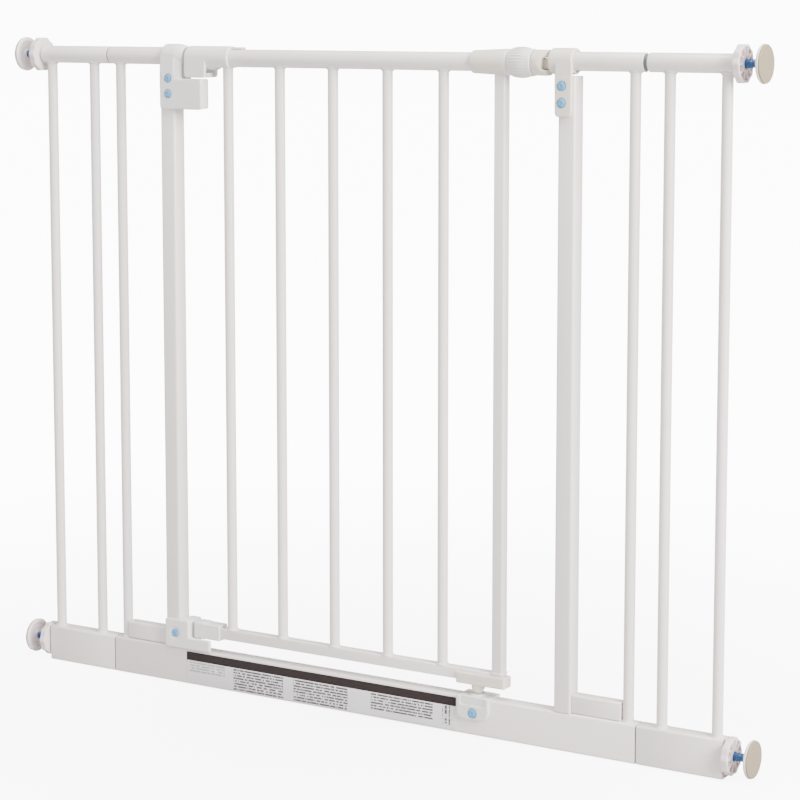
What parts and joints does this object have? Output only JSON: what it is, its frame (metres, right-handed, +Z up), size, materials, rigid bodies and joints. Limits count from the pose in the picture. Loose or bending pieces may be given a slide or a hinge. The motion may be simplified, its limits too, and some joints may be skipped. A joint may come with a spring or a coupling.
{
  "type": "safety gate",
  "caption": "Pressure-mounted metal safety gate: barred frame and swinging barred door, slide handle, ribbed adjusting knob, side extensions and screw-out wall pads.",
  "frame": {"origin": "on the floor, midway along the gate and midway through its depth", "axes": "+X along the gate from the latch end to the hinge end, +Y from the front to the back, +Z up"},
  "size_m": [0.94, 0.04, 0.747],
  "materials": {
    "white_paint": "satin white powder coat",
    "white_plastic": "fine-grained off-white moulded plastic",
    "blue_plastic": "satin light blue moulded plastic",
    "blue_spindle": "satin blue moulded thread",
    "tan_rubber": "matt tan non-slip rubber",
    "label_film": "printed film"
  },
  "bodies": {
    "gate": {"bottom_rail": "white_paint", "catch_bracket": "white_plastic", "catch_screw_cap": "blue_plastic", "hinge_clip": "white_plastic", "hinge_screw_cap_1": "blue_plastic", "hinge_screw_cap_2": "blue_plastic", "hinge_socket": "white_plastic", "label": "label_film", "latch_housing": "white_plastic", "latch_screw_cap_1": "blue_plastic", "latch_screw_cap_2": "blue_plastic", "left_extension_bottom_rail": "white_paint", "left_extension_inner_bar": "white_paint", "left_extension_outer_bar": "white_paint", "left_extension_top_tube": "white_paint", "left_frame_bar": "white_paint", "left_post": "white_paint", "left_top_tube": "white_paint", "left_upper_rail": "white_paint", "right_extension_bottom_rail": "white_paint", "right_extension_inner_bar": "white_paint", "right_extension_outer_bar": "white_paint", "right_extension_top_tube": "white_paint", "right_frame_bar": "white_paint", "right_post": "white_paint", "right_top_tube": "white_paint", "right_upper_rail": "white_paint", "socket_screw_cap": "blue_plastic"},
    "door": {"door_bar_1": "white_paint", "door_bar_2": "white_paint", "door_bar_3": "white_paint", "door_bar_4": "white_paint", "door_bar_5": "white_paint", "door_bottom_rail": "white_paint", "door_end_cap": "white_plastic", "door_foot_cap": "white_plastic", "door_stile": "white_paint", "door_top_tube": "white_paint", "hinge_collar": "white_plastic", "hinge_clevis": "white_plastic", "hinge_pin": "blue_spindle"},
    "handle": {"handle_sleeve": "white_plastic"},
    "release_button": {"release_button": "white_plastic"},
    "adjusting_knob": {"adjusting_knob": "white_plastic"},
    "left_top_wheel": {"left_top_wheel": "white_plastic"},
    "left_top_spindle": {"left_top_spindle": "blue_spindle", "left_top_pad_cup": "white_plastic", "left_top_pad_face": "tan_rubber"},
    "left_bottom_wheel": {"left_bottom_wheel": "white_plastic"},
    "left_bottom_spindle": {"left_bottom_spindle": "blue_spindle", "left_bottom_pad_cup": "white_plastic", "left_bottom_pad_face": "tan_rubber"},
    "right_top_wheel": {"right_top_wheel": "white_plastic"},
    "right_top_spindle": {"right_top_spindle": "blue_spindle", "right_top_pad_cup": "white_plastic", "right_top_pad_face": "tan_rubber"},
    "right_bottom_wheel": {"right_bottom_wheel": "white_plastic"},
    "right_bottom_spindle": {"right_bottom_spindle": "blue_spindle", "right_bottom_pad_cup": "white_plastic", "right_bottom_pad_face": "tan_rubber"}
  },
  "joints": [
    {"name": "door_swing", "type": "hinge", "parent": "gate", "child": "door", "pos_m": [0.148, 0, 0.0505], "axis": [-0.1039, 0, -0.9946], "range_deg": [0, 90]},
    {"name": "handle_slide", "type": "slide", "parent": "door", "child": "handle", "axis": [1, 0, 0], "range_m": [0, 0.007], "stiffness_N_per_m": 300, "springref_m": -0.01},
    {"name": "button_press", "type": "slide", "parent": "handle", "child": "release_button", "axis": [0, 0, 1], "range_m": [0, 0.003], "stiffness_N_per_m": 300, "springref_m": -0.003},
    {"name": "knob_turn", "type": "hinge", "parent": "door", "child": "adjusting_knob", "pos_m": [0.2, 0, 0.7252], "axis": [1, 0, 0], "range_deg": [-90, 90]},
    {"name": "left_top_wheel_turn", "type": "hinge", "parent": "gate", "child": "left_top_wheel", "pos_m": [-0.449, 0, 0.727], "axis": [1, 0, 0], "range_deg": [-720, 1440]},
    {"name": "left_top_spindle_slide", "type": "slide", "parent": "gate", "child": "left_top_spindle", "axis": [-1, 0, 0], "range_m": [-0.008, 0.016]},
    {"name": "left_bottom_wheel_turn", "type": "hinge", "parent": "gate", "child": "left_bottom_wheel", "pos_m": [-0.449, 0, 0.024], "axis": [1, 0, 0], "range_deg": [-720, 1440]},
    {"name": "left_bottom_spindle_slide", "type": "slide", "parent": "gate", "child": "left_bottom_spindle", "axis": [-1, 0, 0], "range_m": [-0.008, 0.016]},
    {"name": "right_top_wheel_turn", "type": "hinge", "parent": "gate", "child": "right_top_wheel", "pos_m": [0.449, 0, 0.727], "axis": [-1, 0, 0], "range_deg": [-720, 1440]},
    {"name": "right_top_spindle_slide", "type": "slide", "parent": "gate", "child": "right_top_spindle", "axis": [1, 0, 0], "range_m": [-0.008, 0.016]},
    {"name": "right_bottom_wheel_turn", "type": "hinge", "parent": "gate", "child": "right_bottom_wheel", "pos_m": [0.449, 0, 0.024], "axis": [-1, 0, 0], "range_deg": [-720, 1440]},
    {"name": "right_bottom_spindle_slide", "type": "slide", "parent": "gate", "child": "right_bottom_spindle", "axis": [1, 0, 0], "range_m": [-0.008, 0.016]}
  ],
  "couplings": [
    {"joint": "left_top_spindle_slide", "follows": "left_top_wheel_turn", "m_per_rad": 0.00063662},
    {"joint": "left_bottom_spindle_slide", "follows": "left_bottom_wheel_turn", "m_per_rad": 0.00063662},
    {"joint": "right_top_spindle_slide", "follows": "right_top_wheel_turn", "m_per_rad": 0.00063662},
    {"joint": "right_bottom_spindle_slide", "follows": "right_bottom_wheel_turn", "m_per_rad": 0.00063662}
  ]
}
